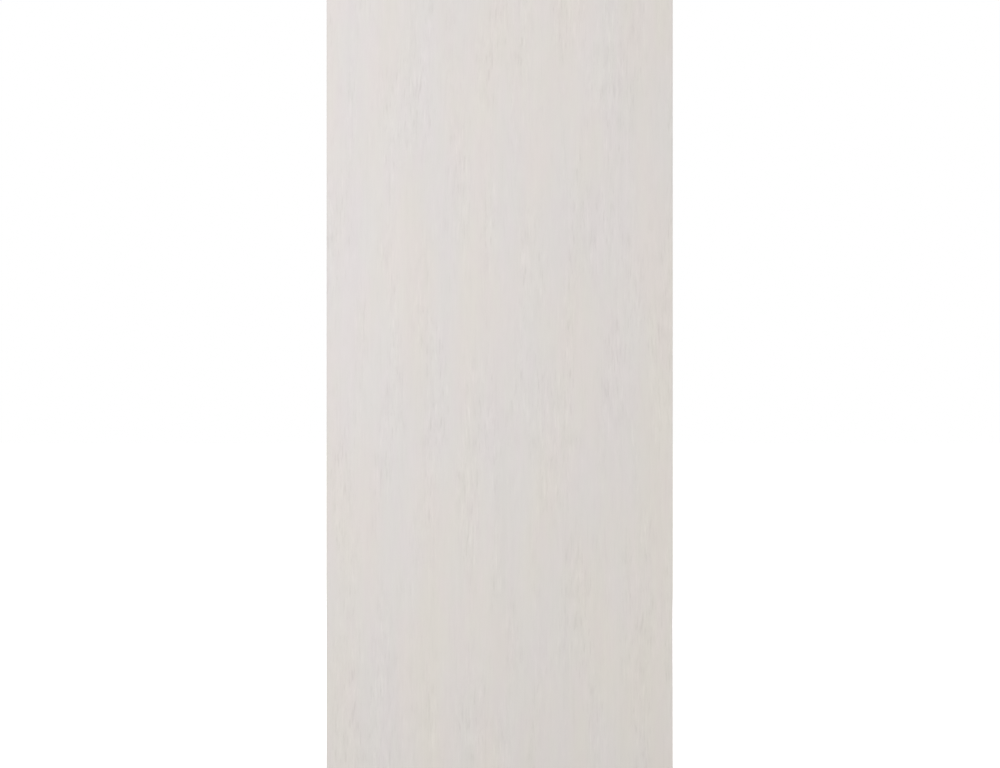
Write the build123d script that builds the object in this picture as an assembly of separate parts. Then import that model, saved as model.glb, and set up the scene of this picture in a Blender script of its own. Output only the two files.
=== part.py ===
"""Flush leaf of a sliding barn door: a solid-core slab faced in a pale wood-grain laminate.

Millimetres, +Z up. The origin is the middle of the leaf's top edge, where the hangers of a sliding
track are fixed. +X runs to the right as seen from the front, and the front faces -Y.
"""

import os

from build123d import *

# The leaf as a whole
LEAF_WIDTH = 914.0
LEAF_HEIGHT = 2032.0
LEAF_THICKNESS = 35.0

# Facing of each side: a decorative laminate glued to a hardboard crossband
LAMINATE_THICKNESS = 0.8
LAMINATE_ARRIS = 0.4
CROSSBAND_THICKNESS = 3.2

# Bands that close the two long edges
BAND_THICKNESS = 2.0
BAND_ARRIS_RADIUS = 1.0

# Timber frame around the core
STILE_WIDTH = 45.0
TOP_RAIL_HEIGHT = 125.0
BOTTOM_RAIL_HEIGHT = 125.0

# Groove along the bottom edge, which rides over the guide on the floor
GROOVE_WIDTH = 10.0
GROOVE_DEPTH = 20.0
GROOVE_MOUTH_CHAMFER = 1.0

# The most of a wall that an eased corner takes
LARGEST_EASED_SHARE = 0.9

# Sizes that follow from the ones above
BETWEEN_BANDS = LEAF_WIDTH - 2 * BAND_THICKNESS
FRAME_THICKNESS = LEAF_THICKNESS - 2 * (LAMINATE_THICKNESS + CROSSBAND_THICKNESS)
BETWEEN_STILES = BETWEEN_BANDS - 2 * STILE_WIDTH
BETWEEN_RAILS = LEAF_HEIGHT - TOP_RAIL_HEIGHT - BOTTOM_RAIL_HEIGHT
TOP_EDGE = 0.0
BOTTOM_EDGE = TOP_EDGE - LEAF_HEIGHT


def board(width, thickness, height, x=0.0, y=0.0, top=TOP_EDGE):
    """A plain board that hangs down from the height of its top edge."""
    hung = (Align.CENTER, Align.CENTER, Align.MAX)
    return Pos(x, y, top) * Box(width, thickness, height, align=hung)


def eased(size, wall):
    """The size of an eased corner, limited by the wall that it is on."""
    return min(size, LARGEST_EASED_SHARE * wall)


def guide_groove():
    """What the cutter clears along the whole bottom edge: a slot with a chamfered mouth."""
    half_slot = GROOVE_WIDTH / 2
    half_mouth = half_slot + 2 * GROOVE_MOUTH_CHAMFER
    mouth = BOTTOM_EDGE - GROOVE_MOUTH_CHAMFER
    chamfer_end = BOTTOM_EDGE + GROOVE_MOUTH_CHAMFER
    slot_end = BOTTOM_EDGE + GROOVE_DEPTH
    outline = Polyline(
        (-half_mouth, mouth),
        (-half_slot, chamfer_end),
        (-half_slot, slot_end),
        (half_slot, slot_end),
        (half_slot, chamfer_end),
        (half_mouth, mouth),
        close=True,
    )
    return extrude(Plane.YZ * make_face(outline), LEAF_WIDTH, both=True)


def front_laminate():
    """The decorative sheet on the front, with its arris taken off along the top and bottom."""
    y = -(LEAF_THICKNESS - LAMINATE_THICKNESS) / 2
    sheet = board(BETWEEN_BANDS, LAMINATE_THICKNESS, LEAF_HEIGHT, y=y)
    level_edges = sheet.faces().sort_by(Axis.Y)[0].edges().filter_by(Axis.X)
    return chamfer(level_edges, eased(LAMINATE_ARRIS, LAMINATE_THICKNESS))


def front_crossband():
    """The hardboard sheet under the front laminate."""
    y = -(FRAME_THICKNESS + CROSSBAND_THICKNESS) / 2
    return board(BETWEEN_BANDS, CROSSBAND_THICKNESS, LEAF_HEIGHT, y=y)


def right_edge_band():
    """The strip on the right edge, rounded at both outer corners and notched by the groove."""
    x = (LEAF_WIDTH - BAND_THICKNESS) / 2
    section = Pos(x, 0, TOP_EDGE) * Rectangle(BAND_THICKNESS, LEAF_THICKNESS)
    outer_corners = section.vertices().group_by(Axis.X)[-1]
    section = fillet(outer_corners, eased(BAND_ARRIS_RADIUS, BAND_THICKNESS))
    return extrude(section, -LEAF_HEIGHT) - guide_groove()


def right_stile():
    """The upright of the frame on the right, notched by the groove at its foot."""
    x = (BETWEEN_BANDS - STILE_WIDTH) / 2
    return board(STILE_WIDTH, FRAME_THICKNESS, LEAF_HEIGHT, x=x) - guide_groove()


def top_rail():
    """The rail between the stiles that takes the hangers' screws."""
    return board(BETWEEN_STILES, FRAME_THICKNESS, TOP_RAIL_HEIGHT)


def bottom_rail():
    """The rail between the stiles that holds the guide groove."""
    top = BOTTOM_EDGE + BOTTOM_RAIL_HEIGHT
    return board(BETWEEN_STILES, FRAME_THICKNESS, BOTTOM_RAIL_HEIGHT, top=top) - guide_groove()


def core_board():
    """The particleboard that fills the frame."""
    top = TOP_EDGE - TOP_RAIL_HEIGHT
    return board(BETWEEN_STILES, FRAME_THICKNESS, BETWEEN_RAILS, top=top)


def leaf_pieces():
    """Every piece of the leaf by name. The back repeats the front, and the left the right."""
    pieces = {
        "top_rail": top_rail(),
        "bottom_rail": bottom_rail(),
        "core_board": core_board(),
    }
    for name, front in {"laminate": front_laminate(), "crossband": front_crossband()}.items():
        pieces[f"front_{name}"] = front
        pieces[f"back_{name}"] = mirror(front, about=Plane.XZ)
    for name, right in {"stile": right_stile(), "edge_band": right_edge_band()}.items():
        pieces[f"right_{name}"] = right
        pieces[f"left_{name}"] = mirror(right, about=Plane.YZ)
    return pieces


os.makedirs("parts", exist_ok=True)
for name, piece in leaf_pieces().items():
    export_step(piece, f"parts/{name}.step")
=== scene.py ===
"""Looks of a sliding barn door's flush leaf: pale wood-grain laminate over a timber frame.

Metres, +Z up. The origin is the middle of the leaf's top edge, and the front faces -Y.
Patterns and their relief are in millimetres, in the leaf's own frame, and colours are linear.
"""

import math
from typing import NamedTuple

import bpy
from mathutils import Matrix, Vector


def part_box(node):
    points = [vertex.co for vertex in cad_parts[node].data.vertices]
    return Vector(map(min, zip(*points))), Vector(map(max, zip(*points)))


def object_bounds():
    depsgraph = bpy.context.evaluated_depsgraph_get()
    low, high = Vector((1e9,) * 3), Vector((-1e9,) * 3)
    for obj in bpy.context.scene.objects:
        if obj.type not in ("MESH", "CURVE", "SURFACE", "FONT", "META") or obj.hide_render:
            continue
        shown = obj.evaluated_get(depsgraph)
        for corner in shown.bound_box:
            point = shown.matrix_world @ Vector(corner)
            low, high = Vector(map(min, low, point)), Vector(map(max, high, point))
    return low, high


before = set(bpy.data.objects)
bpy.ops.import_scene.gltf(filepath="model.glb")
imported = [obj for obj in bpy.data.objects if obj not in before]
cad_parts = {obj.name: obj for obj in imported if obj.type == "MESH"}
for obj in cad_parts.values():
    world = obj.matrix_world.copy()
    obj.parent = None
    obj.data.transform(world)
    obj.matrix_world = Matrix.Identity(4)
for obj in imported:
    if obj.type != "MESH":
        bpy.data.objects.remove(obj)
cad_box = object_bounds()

MM_PER_M = 1000.0
ALONG_X = 0
ALONG_Z = 2


class Marks(NamedTuple):
    """Marks of a pattern: their size in millimetres, and the noise levels that they fade in between."""

    size: tuple
    low: float
    high: float
    detail: float = 0.0


class Swing(NamedTuple):
    """A value that swings about 0: the size of its patches in millimetres, and its whole reach."""

    size: tuple
    amount: float
    detail: float = 0.0
    roughness: float = 0.5


def lengthwise(axis, width, length):
    """The size of marks that are drawn out along one axis."""
    size = [width] * 3
    size[axis] = length
    return tuple(size)


def upright(width, length):
    """The size of marks that are drawn out up the leaf."""
    return lengthwise(ALONG_Z, width, length)


# Camera: the picture that it frames, the leaf's place in that, and its lens
PICTURE_WIDTH_PX = 1000
LEAF_WIDTH_PX = 346.1
LEAF_MIDDLE_PX = 499.65
LENS_MM = 100.0
SENSOR_MM = 36.0
FARTHEST_SEEN = 200.0

# Studio: the lamps are placed from the middle of the leaf
KEY_FROM = Vector((-2.6, -5.0, 1.2))
KEY_SIZE = 2.4
KEY_POWER = 164.0
KEY_COLOUR = (0.97, 0.985, 1.17)
FILL_COLOUR = (1.02, 1.005, 0.89)
FILL_STRENGTH = 0.58
WHITE = (1.0, 1.0, 1.0)
FLOOR_GAP = 0.006
FLOOR_HALF_SIZE = 40.0
FLOOR_COLOUR = (0.8, 0.8, 0.8)
FLOOR_GLOW = 0.72
FLOOR_SHADE = 0.6
CONTACT_SHADOW = 0.4
CONTACT_SHADOW_REACH = 0.7

# Places in the leaf that its finishes follow, in millimetres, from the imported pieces
HALF_WIDTH = cad_box[1].x * MM_PER_M
HALF_THICKNESS = cad_box[1].y * MM_PER_M
BAND_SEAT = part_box("right_edge_band")[0].x * MM_PER_M
LAMINATE_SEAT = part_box("back_laminate")[0].y * MM_PER_M
FRAME_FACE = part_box("top_rail")[1].y * MM_PER_M
RAIL_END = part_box("top_rail")[1].x * MM_PER_M

# Saw marks and glue that several layers share
SAW_PITCH = 2.8
GLUE_COVER = 0.6

# Course of the laminate's grain: how it bends aside, and where its marks crowd together
GRAIN_BENDS = (
    Swing(upright(320.0, 1100.0), amount=12.0),
    Swing(upright(80.0, 500.0), amount=2.0),
)
CROWDS = Marks(upright(52.0, 360.0), low=0.38, high=0.64, detail=1.0)
STRENGTH_BETWEEN_CROWDS = 0.28

# Ticks of the grain: the peaks and dips of one noise, split into threads. The light ticks at the dips are
# a painted highlight on the embossed grain
DARK_TICKS = Marks(upright(5.5, 44.0), low=0.55, high=0.74, detail=0.6)
PAINTED_HIGHLIGHT_TICKS = Marks(upright(5.5, 44.0), low=0.45, high=0.26, detail=0.6)
THREADS = Marks(upright(1.5, 70.0), low=0.36, high=0.64, detail=1.0)
FAINT_THREAD = 0.3
STRONG_THREAD = 1.7

# Finer pores of the grain, and how full they are beside the ticks
HAIRLINES = Marks(upright(6.0, 150.0), low=0.66, high=0.84)
HAIRLINE_STRENGTH = 0.6
FINE_PORES = Marks(upright(1.4, 15.0), low=0.62, high=0.72)
FINE_PORE_STRENGTH = 0.8

# Print of the laminate: its tone as a share of its lightness, a painted highlight on the light ticks,
# pores darkened by their print and by painted shade, and its off-white tints
TONE_STREAKS = (
    Swing(upright(150.0, 500.0), amount=0.022),
    Swing(upright(70.0, 1400.0), amount=0.028),
    Swing(upright(30.0, 420.0), amount=0.026, detail=1.0),
    Swing(upright(12.0, 260.0), amount=0.028, detail=1.0),
    Swing(upright(3.0, 60.0), amount=0.020, detail=2.0, roughness=0.6),
)
TONE_MOTTLE = Swing(upright(15.0, 60.0), amount=0.084)
# Painted highlight on the light ticks
PAINTED_HIGHLIGHT_TONE = 0.032
# Pores are darker, partly by their print and partly by painted shade
PORE_TONE_AND_SHADE = -0.034
PRINT_LIGHTNESS = 0.998
WARM_STREAKS = Marks(upright(120.0, 500.0), low=0.3, high=0.7, detail=1.0)
ROSY_STREAKS = Marks(upright(36.0, 130.0), low=0.3, high=0.7, detail=1.0)
LILAC_WHITE = (0.686, 0.660, 0.627)
CREAM_WHITE = (0.695, 0.660, 0.607)
ROSY_LEAN = (0.005, -0.008, 0.006)

# Surface of the laminate, and the brown paper under its printed skin
LAMINATE_ROUGHNESS = 0.55
TONE_RELIEF = 0.5
PORE_RELIEF = -0.09
SKIN_DEPTH = 0.10
PAPER_DEPTH = 0.22
PAPER_PATCHES = (9.0, 0.4, 9.0)
DARK_PAPER = (0.19, 0.10, 0.055)
PALE_PAPER = (0.28, 0.16, 0.085)

# Edge bands: their scraped arrises, and the glue behind them
BAND_ROUGHNESS = 0.62
ARRIS_INNER = 1.3
ARRIS_OUTER = 0.5
SCRAPING = Swing(upright(1.0, 7.0), amount=0.8)
SCRAPING_STRENGTH = 0.7
SCRAPER_PITCH = 2.4
SCRAPER_RELIEF = 0.008
GRAIN_LEFT_ON_ARRIS = 0.1
BAND_GLUE_REACH = 0.2
BAND_GLUE_RELIEF = -0.05
BAND_GLUE_COLOUR = (0.40, 0.33, 0.26)

# Hardboard crossbands
HARD_ROUGHNESS = 0.78
HARD_FIBRES = (5.0, 0.7, 5.0)
HARD_SPECKS = Marks((2.2, 1.1, 2.2), low=0.62, high=0.74, detail=1.0)
HARD_PATCHES = Swing((60.0, 60.0, 60.0), amount=0.5, detail=1.0)
HARD_SKIN_REACH = 0.7
HARD_FIBRE_RELIEF = 0.22
HARD_SPECK_RELIEF = 0.08
HARD_SAW_RELIEF = 0.02
DARK_FIBRE = (0.235, 0.125, 0.058)
PALE_FIBRE = (0.385, 0.235, 0.125)
FIBRE_SPECK = (0.52, 0.36, 0.21)

# Growth rings of the timber, and each board's pith: across its face and through its thickness
PITHS = {
    "left_stile": (-520.0, 31.0),
    "right_stile": (402.0, -44.0),
    "top_rail": (-60.0, -85.0),
    "bottom_rail": (-1950.0, 70.0),
}
RING_PITCH = 5.5
RING_WANDER_WIDTH = 90.0
RING_WANDER_LENGTH = 620.0
RING_WANDER = 5.0
LATE_WOOD_STARTS = 0.30
LATE_WOOD_DARKEST = 0.88
LATE_WOOD_ENDS = 0.92
EARLY_WOOD = (0.655, 0.480, 0.300)
LATE_WOOD = (0.430, 0.262, 0.130)

# Fibres, saw marks and glue of the timber
WOOD_ROUGHNESS = 0.62
WOOD_FIBRE_WIDTH = 1.6
WOOD_FIBRE_LENGTH = 46.0
SAW_WANDER = Swing((30.0, 30.0, 30.0), amount=1.5)
LATE_WOOD_RELIEF = 0.05
WOOD_FIBRE_RELIEF = 0.12
WOOD_SAW_RELIEF = 0.035
WOOD_GLUE_RELIEF = -0.10
BUTT_GLUE_REACH = 0.6
FACING_GLUE_REACH = 0.4
WOOD_GLUE_COLOUR = (0.20, 0.115, 0.055)

# Short lengths that the rails are joined from, each cut from another place in its log
JOINTED_LENGTH = 310.0
FIRST_JOINT = 140.0
FINGER_PITCH = 6.0
FINGER_LENGTH = 12.0
FINGER_GLUE_REACH = 0.7
SHIFT_ACROSS = 70.0
SHIFT_THROUGH = 24.0

# A stile in one length: no seam, no shift either way and the middle shade
NO_SEAM = 0.0
ONE_LENGTH = (0.0, 0.0, 0.5)

# Chips of the particleboard
CHIP_ROUGHNESS = 0.72
CHIP_SIZE = (7.0, 2.4, 7.0)
CHIP_STREAKS = Swing((3.0, 1.0, 3.0), amount=0.3, detail=2.0)
DENSE_DEPTH = 5.0
CHIP_RELIEF = 0.15
CHIP_GAP_RELIEF = -0.25
DARK_CHIP = (0.42, 0.27, 0.14)
PALE_CHIP = (0.60, 0.44, 0.27)


class Nodes:
    """The node tree of a new material or world, with short calls for what it is made of."""

    def __init__(self, owner):
        owner.use_nodes = True
        self.owner = owner
        self.tree = owner.node_tree
        self.tree.nodes.clear()

    def node(self, kind, **settings):
        made = self.tree.nodes.new(kind)
        for name, value in settings.items():
            setattr(made, name, value)
        return made

    def feed(self, socket, value):
        """Links a socket to an output, or sets it to a plain value. A plain colour is opaque."""
        if isinstance(value, bpy.types.NodeSocket):
            self.tree.links.new(value, socket)
        elif socket.type == "RGBA":
            socket.default_value = (*value, 1.0)
        else:
            socket.default_value = value

    def maths(self, operation, a, b=0.0):
        made = self.node("ShaderNodeMath", operation=operation)
        self.feed(made.inputs[0], a)
        self.feed(made.inputs[1], b)
        return made.outputs[0]

    def times(self, a, b):
        return self.maths("MULTIPLY", a, b)

    def total(self, *values):
        """The sum of the values, where a pair is a value and its weight."""
        terms = [self.times(*value) if isinstance(value, tuple) else value for value in values]
        result = terms[0]
        for term in terms[1:]:
            result = self.maths("ADD", result, term)
        return result

    def between(self, share, start, end):
        """Start where share is 0, and end where it is 1."""
        return self.total(start, (share, end - start))

    def vector(self, operation, a, b):
        made = self.node("ShaderNodeVectorMath", operation=operation)
        self.feed(made.inputs[0], a)
        self.feed(made.inputs[1], b)
        return made.outputs[0]

    def place(self):
        """The point on the leaf, in millimetres."""
        at = self.node("ShaderNodeTexCoord").outputs["Object"]
        return self.vector("MULTIPLY", at, (MM_PER_M,) * 3)

    def axes(self, vector):
        made = self.node("ShaderNodeSeparateXYZ")
        self.feed(made.inputs[0], vector)
        return made.outputs

    def joined(self, x, y, z):
        made = self.node("ShaderNodeCombineXYZ")
        for socket, value in zip(made.inputs, (x, y, z)):
            self.feed(socket, value)
        return made.outputs[0]

    def noise(self, at, size, detail=0.0, roughness=0.5):
        """Smooth noise about 0.5, with features of that size along each axis."""
        made = self.node("ShaderNodeTexNoise")
        self.feed(made.inputs["Vector"], self.vector("DIVIDE", at, size))
        self.feed(made.inputs["Scale"], 1.0)
        self.feed(made.inputs["Detail"], detail)
        self.feed(made.inputs["Roughness"], roughness)
        return made.outputs[0]

    def swing(self, at, kind):
        """Noise about 0, within about half of its amount each way."""
        around = self.maths("SUBTRACT", self.noise(at, kind.size, kind.detail, kind.roughness), 0.5)
        return self.times(around, kind.amount)

    def marks(self, at, kind):
        """1 on the marks, and 0 between them."""
        return self.step(self.noise(at, kind.size, kind.detail), kind.low, kind.high)

    def step(self, value, low, high):
        """0 on the low side, 1 on the high side and a smooth change between them."""
        made = self.node("ShaderNodeMapRange", interpolation_type="SMOOTHSTEP")
        self.feed(made.inputs["Value"], value)
        self.feed(made.inputs["From Min"], low)
        self.feed(made.inputs["From Max"], high)
        return made.outputs[0]

    def near(self, value, mark, reach):
        """1 where the value is at the mark, and 0 from that reach away."""
        away = self.maths("ABSOLUTE", self.maths("SUBTRACT", value, mark))
        return self.step(away, reach, 0.0)

    def waves(self, value, pitch):
        """A sine that swings between -1 and 1 once in each pitch."""
        return self.maths("SINE", self.times(value, 2.0 * math.pi / pitch))

    def chance(self, number):
        """Three random shares that are the same wherever the number is."""
        made = self.node("ShaderNodeTexWhiteNoise", noise_dimensions="1D")
        self.feed(made.inputs["W"], number)
        return self.axes(made.outputs["Color"])

    def facing(self, axis):
        """1 on faces square to that axis, and 0 on faces along it."""
        normal = self.axes(self.node("ShaderNodeNewGeometry").outputs["True Normal"])
        return self.step(self.maths("ABSOLUTE", normal[axis]), 0.7, 0.9)

    def blend(self, share, a, b):
        """Colour a where share is 0, and b where it is 1."""
        made = self.node("ShaderNodeMix", data_type="RGBA")
        self.feed(made.inputs["Factor"], share)
        self.feed(made.inputs["A"], a)
        self.feed(made.inputs["B"], b)
        return made.outputs["Result"]

    def scaled(self, colour, factor):
        made = self.node("ShaderNodeVectorMath", operation="SCALE")
        self.feed(made.inputs[0], colour)
        self.feed(made.inputs["Scale"], factor)
        return made.outputs[0]

    def shader(self, kind, **values):
        """A shader node, with values for the sockets that are named."""
        made = self.node(kind)
        for name, value in values.items():
            self.feed(made.inputs[name], value)
        return made.outputs[0]

    def mixed(self, share, a, b):
        """Shader a where share is 0, and b where it is 1."""
        made = self.node("ShaderNodeMixShader")
        self.feed(made.inputs["Fac"], share)
        self.feed(made.inputs[1], a)
        self.feed(made.inputs[2], b)
        return made.outputs[0]

    def end(self, kind, surface):
        """Ends the tree in that surface, and gives the material or world."""
        self.feed(self.node(kind).inputs["Surface"], surface)
        return self.owner

    def finish(self, colour, roughness, height_mm):
        """Ends a material in one shader, with its relief as bump."""
        bump = self.node("ShaderNodeBump")
        self.feed(bump.inputs["Distance"], 1.0 / MM_PER_M)
        self.feed(bump.inputs["Height"], height_mm)
        surface = self.node("ShaderNodeBsdfPrincipled")
        self.feed(surface.inputs["Base Color"], colour)
        self.feed(surface.inputs["Roughness"], roughness)
        self.feed(surface.inputs["Normal"], bump.outputs[0])
        return self.end("ShaderNodeOutputMaterial", surface.outputs[0])


def new_material(name):
    return Nodes(bpy.data.materials.new(name))


def wood_grain(s):
    """The finish of the printed and embossed grain, with painted light and shade of the emboss in its
    colour: (colour, change of roughness, relief).
    """
    leaf_at = s.place()
    x, y, z = s.axes(leaf_at)
    at = s.joined(s.total(x, *[s.swing(leaf_at, bend) for bend in GRAIN_BENDS]), y, z)
    strength = s.between(s.marks(at, CROWDS), STRENGTH_BETWEEN_CROWDS, 1.0)
    threads = s.marks(at, THREADS)
    dark = s.times(s.marks(at, DARK_TICKS), s.between(threads, FAINT_THREAD, STRONG_THREAD))
    # Light ticks: a painted highlight on the embossed grain, lightening its colour
    painted_highlight = s.times(s.marks(at, PAINTED_HIGHLIGHT_TICKS), s.between(threads, STRONG_THREAD, FAINT_THREAD))
    hairlines = s.times(s.marks(at, HAIRLINES), HAIRLINE_STRENGTH)
    fine_pores = s.times(s.marks(at, FINE_PORES), strength)
    pores = s.total(
        s.maths("MAXIMUM", s.times(dark, strength), hairlines),
        (fine_pores, FINE_PORE_STRENGTH),
    )
    tone = s.total(
        *[s.swing(at, streak) for streak in TONE_STREAKS],
        (s.swing(at, TONE_MOTTLE), strength),
        # The light ticks add a painted highlight to the tone
        (s.times(painted_highlight, strength), PAINTED_HIGHLIGHT_TONE),
    )
    off_white = s.blend(s.marks(at, WARM_STREAKS), LILAC_WHITE, CREAM_WHITE)
    tint = s.vector("ADD", off_white, s.scaled(ROSY_LEAN, s.marks(at, ROSY_STREAKS)))
    # Pores darken the colour: partly their own print, partly painted shade in the embossed grooves
    colour = s.scaled(tint, s.total(PRINT_LIGHTNESS, tone, (pores, PORE_TONE_AND_SHADE)))
    rougher = s.total((pores, 0.12), (tone, 0.8))
    relief = s.total((tone, TONE_RELIEF), (pores, PORE_RELIEF))
    return colour, rougher, relief


def laminate_material():
    """Matte off-white laminate with fine upright grain, and its brown paper core at the cut edge."""
    s = new_material("woodgrain_laminate")
    print_colour, rougher, relief = wood_grain(s)
    at = s.place()
    _, y, _ = s.axes(at)
    depth = s.maths("SUBTRACT", HALF_THICKNESS, s.maths("ABSOLUTE", y))
    core = s.step(depth, SKIN_DEPTH, PAPER_DEPTH)
    paper = s.blend(s.noise(at, PAPER_PATCHES), DARK_PAPER, PALE_PAPER)
    colour = s.blend(core, print_colour, paper)
    roughness = s.total(LAMINATE_ROUGHNESS, rougher, (core, 0.2))
    return s.finish(colour, roughness, relief)


def edge_band_material():
    """The same finish on the long edges, scraped smooth along each arris, with a hairline of glue."""
    s = new_material("edge_band")
    print_colour, rougher, relief = wood_grain(s)
    x, y, z = s.axes(s.place())
    out = s.maths("ABSOLUTE", x)
    aside = s.maths("ABSOLUTE", y)
    arris = s.times(
        s.step(out, HALF_WIDTH - ARRIS_INNER, HALF_WIDTH - ARRIS_OUTER),
        s.step(aside, HALF_THICKNESS - ARRIS_INNER, HALF_THICKNESS - ARRIS_OUTER),
    )
    scraped = s.times(arris, s.total(SCRAPING_STRENGTH, s.swing(s.joined(0.0, 0.0, z), SCRAPING)))
    glue = s.near(out, BAND_SEAT, BAND_GLUE_REACH)
    band_colour = s.scaled(print_colour, s.total(0.985, (scraped, 0.03)))
    colour = s.blend(s.times(glue, GLUE_COVER), band_colour, BAND_GLUE_COLOUR)
    roughness = s.total(BAND_ROUGHNESS, rougher, (scraped, -0.16))
    height = s.total(
        (relief, s.between(arris, 1.0, GRAIN_LEFT_ON_ARRIS)),
        (s.times(arris, s.waves(z, SCRAPER_PITCH)), SCRAPER_RELIEF),
        (glue, BAND_GLUE_RELIEF),
    )
    return s.finish(colour, roughness, height)


def hardboard_material():
    """Pressed brown fibre, densest at its two faces, with the fuzz of a sawn edge."""
    s = new_material("hardboard")
    at = s.place()
    x, y, _ = s.axes(at)
    aside = s.maths("ABSOLUTE", y)
    skin = s.maths(
        "MAXIMUM",
        s.near(aside, FRAME_FACE, HARD_SKIN_REACH),
        s.near(aside, LAMINATE_SEAT, HARD_SKIN_REACH),
    )
    fibres = s.noise(at, HARD_FIBRES, detail=3.0, roughness=0.6)
    specks = s.marks(at, HARD_SPECKS)
    saw = s.waves(x, SAW_PITCH)
    pale_share = s.step(s.total(fibres, s.swing(at, HARD_PATCHES)), 0.25, 0.75)
    brown = s.blend(pale_share, DARK_FIBRE, PALE_FIBRE)
    speckled = s.blend(s.times(specks, 0.55), brown, FIBRE_SPECK)
    colour = s.scaled(speckled, s.total(1.0, (skin, -0.22), (saw, 0.03)))
    roughness = s.total(HARD_ROUGHNESS, (fibres, 0.15), (skin, -0.12))
    height = s.total((fibres, HARD_FIBRE_RELIEF), (specks, HARD_SPECK_RELIEF), (saw, HARD_SAW_RELIEF))
    return s.finish(colour, roughness, height)


def finger_joints(s, x, y):
    """Lengths that meet in a zigzag of fingers: (1 on the seams, three random shares for each length)."""
    fingers = s.times(s.maths("PINGPONG", y, FINGER_PITCH / 2), 2 * FINGER_LENGTH / FINGER_PITCH)
    run = s.times(s.total(x, fingers, FIRST_JOINT), 1.0 / JOINTED_LENGTH)
    from_middle = s.maths("ABSOLUTE", s.maths("SUBTRACT", s.maths("FRACT", run), 0.5))
    seam = s.step(from_middle, 0.5 - FINGER_GLUE_REACH / JOINTED_LENGTH, 0.5)
    return seam, s.chance(s.maths("FLOOR", run))


def late_wood(s, at, grain_axis, off_across, off_through):
    """1 in the dark part of each growth ring, from how far off the pith the point is."""
    radius = s.maths("SQRT", s.total((off_across, off_across), (off_through, off_through)))
    wander_size = lengthwise(grain_axis, RING_WANDER_WIDTH, RING_WANDER_LENGTH)
    wander = s.swing(at, Swing(wander_size, RING_WANDER, detail=1.0))
    in_ring = s.maths("FRACT", s.times(s.total(radius, wander), 1.0 / RING_PITCH))
    darkening = s.step(in_ring, LATE_WOOD_STARTS, LATE_WOOD_DARKEST)
    return s.times(darkening, s.step(in_ring, 1.0, LATE_WOOD_ENDS))


def glue_lines(s, x, y):
    """1 on the glue lines where the rails meet the stiles and where the frame meets its facings."""
    butt = s.near(s.maths("ABSOLUTE", x), RAIL_END, BUTT_GLUE_REACH)
    facing = s.near(s.maths("ABSOLUTE", y), FRAME_FACE, FACING_GLUE_REACH)
    return s.maths("MAXIMUM", butt, facing)


def timber_material(board, pith):
    """Planed softwood of one board of the frame, with growth rings about a pith outside the board.

    The rails run along X and are joined from short lengths. The stiles run along Z in one length.
    The pith's place is across the board's face and through its thickness.
    """
    s = new_material(f"{board}_timber")
    at = s.place()
    x, y, z = s.axes(at)
    if board.endswith("rail"):
        grain_axis, across = ALONG_X, z
        seam, (shift_across, shift_through, shade) = finger_joints(s, x, y)
    else:
        grain_axis, across = ALONG_Z, x
        seam, (shift_across, shift_through, shade) = NO_SEAM, ONE_LENGTH
    off_across = s.total(across, (shift_across, SHIFT_ACROSS), -pith[0])
    off_through = s.total(y, (shift_through, SHIFT_THROUGH), -pith[1])
    late = late_wood(s, at, grain_axis, off_across, off_through)
    fibre_size = lengthwise(grain_axis, WOOD_FIBRE_WIDTH, WOOD_FIBRE_LENGTH)
    fibres = s.noise(at, fibre_size, detail=2.0, roughness=0.6)
    end_grain = s.facing(grain_axis)
    saw = s.waves(s.total(x, s.swing(at, SAW_WANDER)), SAW_PITCH)
    glue = s.maths("MAXIMUM", seam, glue_lines(s, x, y))
    lightness = s.total(0.77, (shade, 0.14), (fibres, 0.32), (end_grain, -0.20), (saw, 0.022))
    wood = s.scaled(s.blend(s.times(late, 0.75), EARLY_WOOD, LATE_WOOD), lightness)
    colour = s.blend(s.times(glue, GLUE_COVER), wood, WOOD_GLUE_COLOUR)
    roughness = s.total(WOOD_ROUGHNESS, (late, -0.08), (end_grain, 0.16), (fibres, 0.10))
    height = s.total(
        (late, LATE_WOOD_RELIEF),
        (fibres, WOOD_FIBRE_RELIEF),
        (saw, WOOD_SAW_RELIEF),
        (glue, WOOD_GLUE_RELIEF),
    )
    return s.finish(colour, roughness, height)


def particleboard_material():
    """Pressed chips of mixed tones, denser and darker towards the two faces."""
    s = new_material("particleboard")
    at = s.place()
    _, y, _ = s.axes(at)
    chips = s.node("ShaderNodeTexVoronoi")
    s.feed(chips.inputs["Vector"], s.vector("DIVIDE", at, CHIP_SIZE))
    s.feed(chips.inputs["Scale"], 1.0)
    tone, lean, _ = s.axes(chips.outputs["Color"])
    dense = s.step(s.maths("ABSOLUTE", y), FRAME_FACE - DENSE_DEPTH, FRAME_FACE)
    # The gaps between chips are sunk, and darker by painted shade in these hollows
    shaded_gaps = s.step(chips.outputs["Distance"], 0.45, 0.85)
    lightness = s.total(1.0, s.swing(at, CHIP_STREAKS), (shaded_gaps, -0.25), (dense, -0.08))
    colour = s.scaled(s.blend(tone, DARK_CHIP, PALE_CHIP), lightness)
    roughness = s.total(CHIP_ROUGHNESS, (lean, 0.12))
    height = s.total((lean, CHIP_RELIEF), (shaded_gaps, CHIP_GAP_RELIEF))
    return s.finish(colour, roughness, height)


def dress(material, *nodes):
    """Gives CAD nodes a material in place of the plain one that they came with."""
    for name in nodes:
        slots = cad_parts[name].data.materials
        slots.clear()
        slots.append(material)


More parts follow.
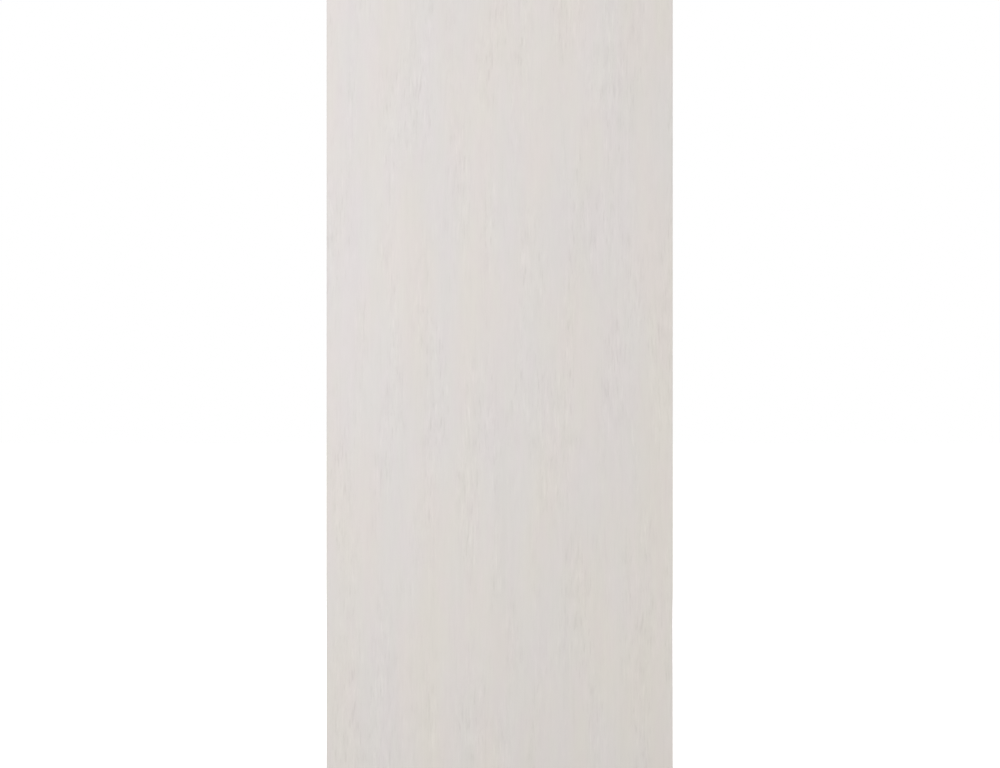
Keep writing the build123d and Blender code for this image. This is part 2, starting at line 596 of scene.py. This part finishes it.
def camera():
    """A long lens straight in front of the leaf, which fills the picture's height."""
    low, high = cad_box
    middle = (low + high) / 2
    seen_width = (high.x - low.x) * PICTURE_WIDTH_PX / LEAF_WIDTH_PX
    data = bpy.data.cameras.new("camera")
    data.lens = LENS_MM
    data.sensor_width = SENSOR_MM
    data.clip_end = FARTHEST_SEEN
    made = bpy.data.objects.new("camera", data)
    away = seen_width * LENS_MM / SENSOR_MM
    aside = (PICTURE_WIDTH_PX / 2 - LEAF_MIDDLE_PX) * seen_width / PICTURE_WIDTH_PX
    made.location = (middle.x + aside, low.y - away, middle.z)
    made.rotation_euler = (math.radians(90.0), 0.0, 0.0)
    bpy.context.scene.collection.objects.link(made)
    bpy.context.scene.camera = made


def soft_lamp(name, offset):
    """A large square lamp that faces the middle of the leaf."""
    low, high = cad_box
    data = bpy.data.lights.new(name, "AREA")
    data.shape = "SQUARE"
    data.size = KEY_SIZE
    data.energy = KEY_POWER
    data.color = KEY_COLOUR
    made = bpy.data.objects.new(name, data)
    made.location = (low + high) / 2 + offset
    made.rotation_euler = (-offset).to_track_quat("-Z", "Y").to_euler()
    made.visible_camera = False
    bpy.context.scene.collection.objects.link(made)


def seen_directly(s):
    """1 for rays from the camera, by way of gloss or glass too, and 0 for light that bounces."""
    path = s.node("ShaderNodeLightPath").outputs
    mirrored = s.maths("MAXIMUM", path["Is Glossy Ray"], path["Is Transmission Ray"])
    return s.maths("MAXIMUM", path["Is Camera Ray"], mirrored)


def surroundings():
    """White all round as seen, and a soft even fill as light."""
    s = Nodes(bpy.data.worlds.new("studio"))
    fill = s.shader("ShaderNodeBackground", Color=FILL_COLOUR, Strength=FILL_STRENGTH)
    white = s.shader("ShaderNodeBackground", Color=WHITE, Strength=1.0)
    bpy.context.scene.world = s.end("ShaderNodeOutputWorld", s.mixed(seen_directly(s), fill, white))


def floor_material():
    """White where light falls, darker in the leaf's shadow, and clear from below."""
    s = new_material("studio_floor")
    hidden = s.node("ShaderNodeAmbientOcclusion")
    s.feed(hidden.inputs["Distance"], CONTACT_SHADOW_REACH)
    open_share = s.between(hidden.outputs["AO"], 1.0 - CONTACT_SHADOW, 1.0)
    lit = s.node("ShaderNodeAddShader")
    s.feed(lit.inputs[0], s.shader("ShaderNodeBsdfDiffuse", Color=s.times(open_share, FLOOR_SHADE)))
    s.feed(lit.inputs[1], s.shader("ShaderNodeEmission", Strength=s.times(open_share, FLOOR_GLOW)))
    plain = s.shader("ShaderNodeBsdfDiffuse", Color=FLOOR_COLOUR)
    top = s.mixed(seen_directly(s), plain, lit.outputs[0])
    from_below = s.node("ShaderNodeNewGeometry").outputs["Backfacing"]
    clear = s.shader("ShaderNodeBsdfTransparent")
    return s.end("ShaderNodeOutputMaterial", s.mixed(from_below, top, clear))


def floor():
    """A wide plain floor, just below the hanging leaf."""
    low, _ = cad_box
    half = FLOOR_HALF_SIZE
    mesh = bpy.data.meshes.new("floor")
    corners = [(-half, -half, 0), (half, -half, 0), (half, half, 0), (-half, half, 0)]
    mesh.from_pydata(corners, [], [(0, 1, 2, 3)])
    mesh.materials.append(floor_material())
    made = bpy.data.objects.new("floor", mesh)
    made.location.z = low.z - FLOOR_GAP
    made.visible_diffuse = False
    bpy.context.scene.collection.objects.link(made)


dress(laminate_material(), "front_laminate", "back_laminate")
dress(edge_band_material(), "left_edge_band", "right_edge_band")
dress(hardboard_material(), "front_crossband", "back_crossband")
for board, pith in PITHS.items():
    dress(timber_material(board, pith), board)
dress(particleboard_material(), "core_board")

camera()
soft_lamp("key", KEY_FROM)
soft_lamp("key_behind", Vector((-KEY_FROM.x, -KEY_FROM.y, KEY_FROM.z)))
surroundings()
floor()
bpy.context.scene.view_settings.view_transform = "Standard"
